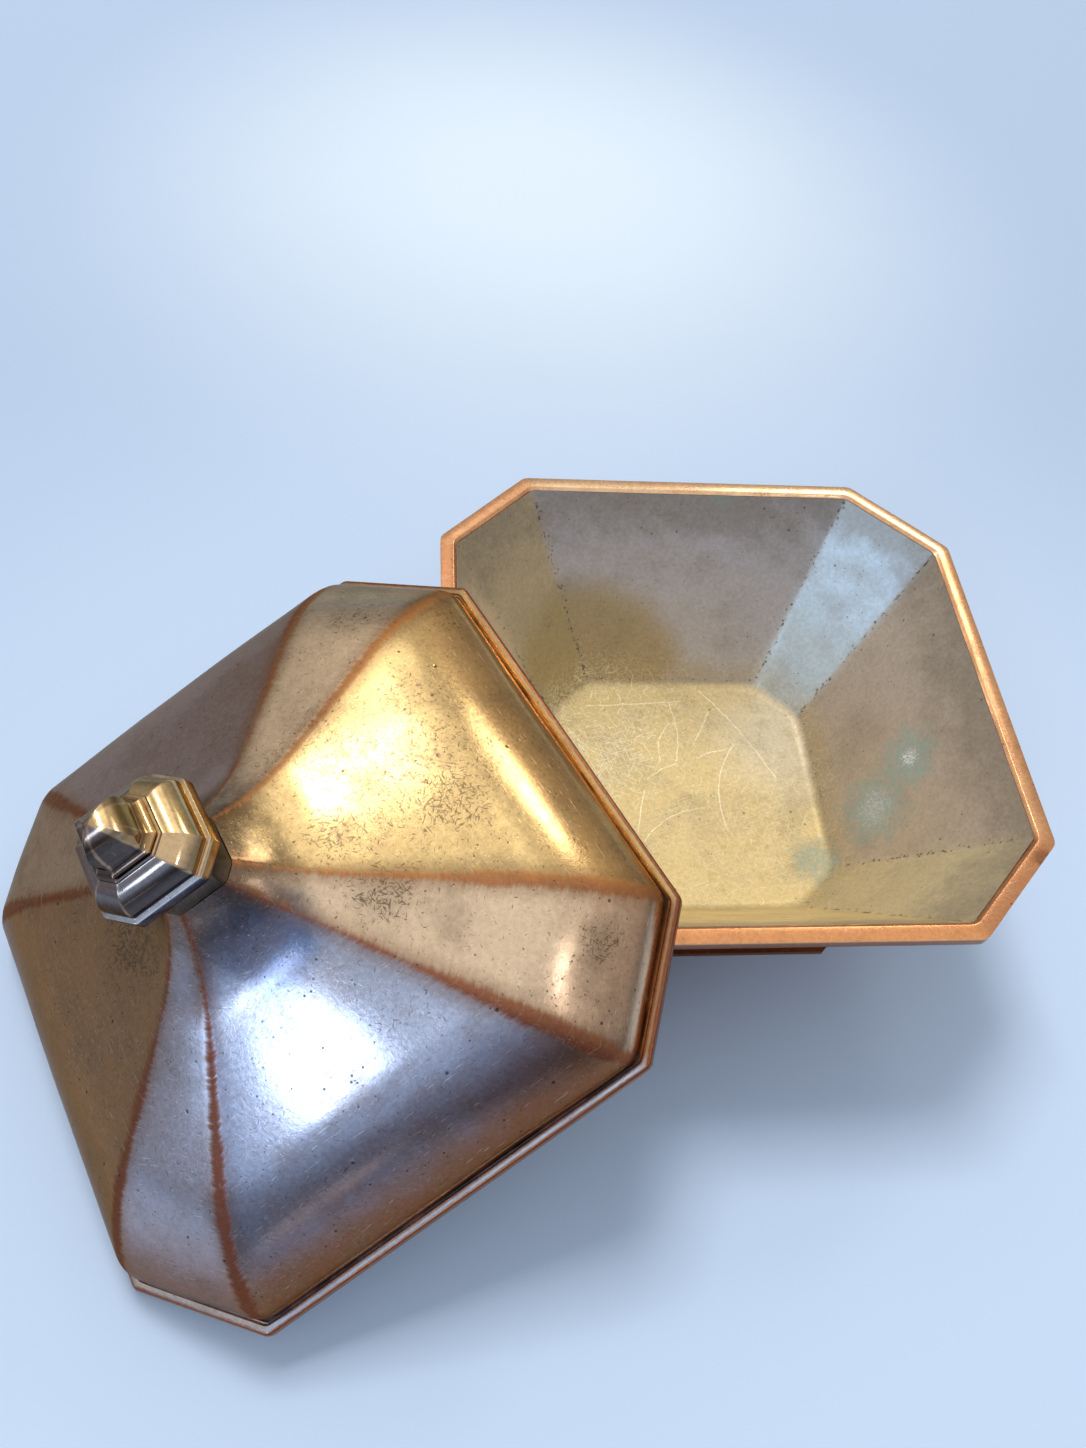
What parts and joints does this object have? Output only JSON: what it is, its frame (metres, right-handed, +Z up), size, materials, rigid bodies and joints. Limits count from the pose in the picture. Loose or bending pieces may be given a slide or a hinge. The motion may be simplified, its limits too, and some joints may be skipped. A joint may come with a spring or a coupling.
{
  "type": "turkish delight box",
  "caption": "Eight-sided tinned copper box for sweets: a flared bowl with a copper rim on a low foot, and its domed lid with a faceted knob, taken off and leaning beside it.",
  "frame": {"origin": "middle of the ground that the open box and its leaning lid cover together, on the table", "axes": "+X to the right along the bowl's front side, +Y towards the bowl's back, +Z up"},
  "size_m": [0.2654, 0.2175, 0.1099],
  "materials": {
    "tinned_inside": "tarnished tin over copper, satin, with scratches and spots of verdigris",
    "polished_copper": "bare copper, polished by handling, with nicks and pits",
    "tinned_copper": "polished tin over copper, worn through to copper along the ridges and round the skirt",
    "tinned_knob": "polished tin over copper, bright, with copper edges",
    "fastener_brass": "plain turned brass, dull"
  },
  "bodies": {
    "box": {"bowl": "tinned_inside", "rim_frame": "polished_copper", "foot_ring": "polished_copper"},
    "lid": {"lid_dome": "tinned_copper", "lid_flange": "tinned_copper", "lid_collar": "tinned_copper", "knob_neck": "tinned_knob", "knob_body": "tinned_knob", "knob_finial": "tinned_knob", "knob_stud": "fastener_brass", "knob_washer": "fastener_brass", "knob_nut": "fastener_brass"}
  },
  "joints": [
    {"name": "lid_lift", "type": "slide", "parent": "box", "child": "lid", "axis": [0, 0, 1], "range_m": [0, 0.13]}
  ]
}
